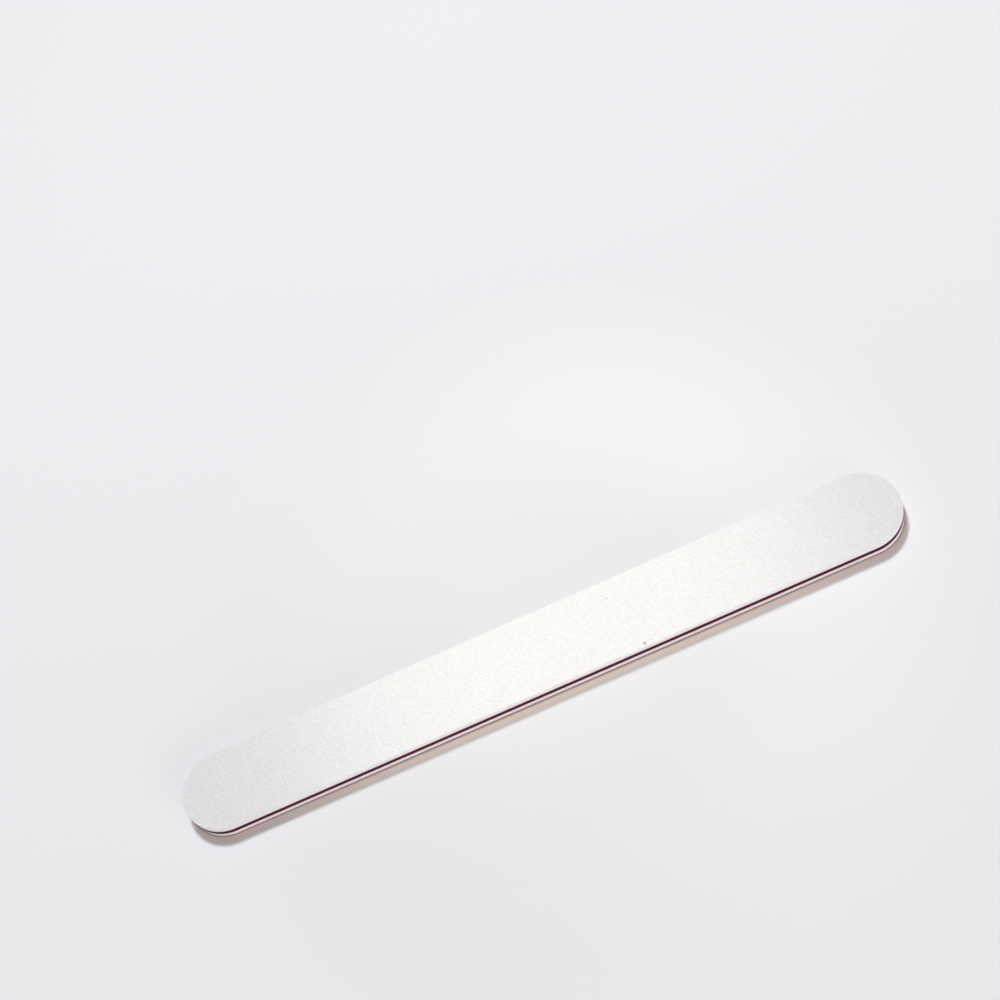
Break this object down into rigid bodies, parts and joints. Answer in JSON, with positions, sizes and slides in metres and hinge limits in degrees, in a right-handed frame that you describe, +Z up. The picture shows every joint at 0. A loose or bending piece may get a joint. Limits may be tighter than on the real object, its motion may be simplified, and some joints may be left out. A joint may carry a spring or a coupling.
{
  "type": "emery board",
  "caption": "Straight padded nail file with full round ends: a stiff core strip between foam cushions, faced on both sides with fine abrasive paper.",
  "frame": {"origin": "centre of the underside, on the surface that the board lies on", "axes": "+X along the board's length, +Y across its width, +Z up through its thickness"},
  "size_m": [0.178, 0.0196, 0.0043],
  "materials": {
    "core": "satin, die-cut",
    "glue": "satin",
    "foam": "matte closed-cell foam",
    "paper": "matte",
    "grit": "fine matte abrasive grain"
  },
  "bodies": {
    "root": {"core_strip": "core", "upper_core_glue": "glue", "lower_core_glue": "glue", "upper_foam": "foam", "lower_foam": "foam", "upper_paper_glue": "glue", "lower_paper_glue": "glue", "upper_paper": "paper", "lower_paper": "paper", "upper_grit_coat": "grit", "lower_grit_coat": "grit"}
  },
  "joints": []
}
